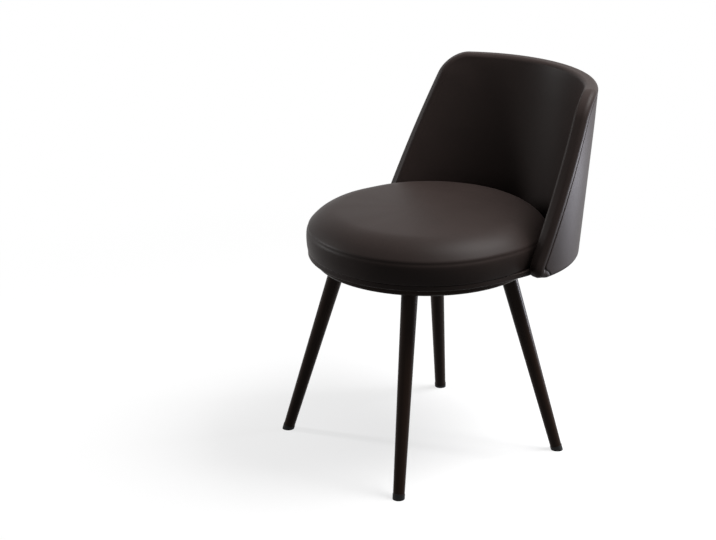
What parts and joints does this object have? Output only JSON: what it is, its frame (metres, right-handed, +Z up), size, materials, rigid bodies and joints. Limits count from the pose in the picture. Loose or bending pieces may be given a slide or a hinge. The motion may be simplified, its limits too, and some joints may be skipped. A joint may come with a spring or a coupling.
{
  "type": "swivel dining chair",
  "caption": "Round padded seat in a leaning curved wing back, turning freely on a splayed steel base with tapered legs.",
  "frame": {"origin": "on the floor, on the swivel axis midway between the four feet", "axes": "+Z up along the swivel axis; -Y is where the sitter faces at rest; +X is the sitter's left"},
  "size_m": [0.5032, 0.5699, 0.7237],
  "materials": {
    "leather": "smooth, soft sheen",
    "foam": "cut polyurethane foam",
    "dust_cloth": "non-woven, matt",
    "plywood": "raw birch plywood",
    "frame_paint": "satin powder coat",
    "bracket_paint": "black paint",
    "plated_steel": "zinc plated",
    "ball_steel": "polished steel",
    "cage_plastic": "moulded",
    "glide_plastic": "moulded, satin"
  },
  "bodies": {
    "base": {"base_dish": "frame_paint", "leg_front_left": "frame_paint", "leg_front_right": "frame_paint", "leg_rear_left": "frame_paint", "leg_rear_right": "frame_paint", "glide_front_left": "glide_plastic", "glide_front_right": "glide_plastic", "glide_rear_left": "glide_plastic", "glide_rear_right": "glide_plastic", "swivel_plate_lower": "plated_steel", "swivel_balls": "ball_steel", "ball_cage": "cage_plastic", "centre_pin": "plated_steel", "leg_screws": "plated_steel", "leg_nuts": "plated_steel", "plate_screws": "plated_steel", "plate_nuts": "plated_steel"},
    "seat": {"swivel_plate_upper": "plated_steel", "board_screws": "plated_steel", "board_tee_nuts": "plated_steel", "seat_board": "plywood", "board_wrap": "leather", "dust_cloth": "dust_cloth", "seat_foam": "foam", "seat_side": "leather", "seat_top": "leather", "back_core": "plywood", "back_inner": "leather", "back_outer": "leather", "back_bracket_left": "bracket_paint", "back_bracket_middle": "bracket_paint", "back_bracket_right": "bracket_paint", "bracket_foot_screws": "plated_steel", "bracket_core_screws": "plated_steel", "core_tee_nuts": "plated_steel"}
  },
  "joints": [
    {"name": "seat_swivel", "type": "hinge", "parent": "base", "child": "seat", "pos_m": [0, 0, 0.3895], "axis": [0, 0, 1], "continuous": true}
  ]
}
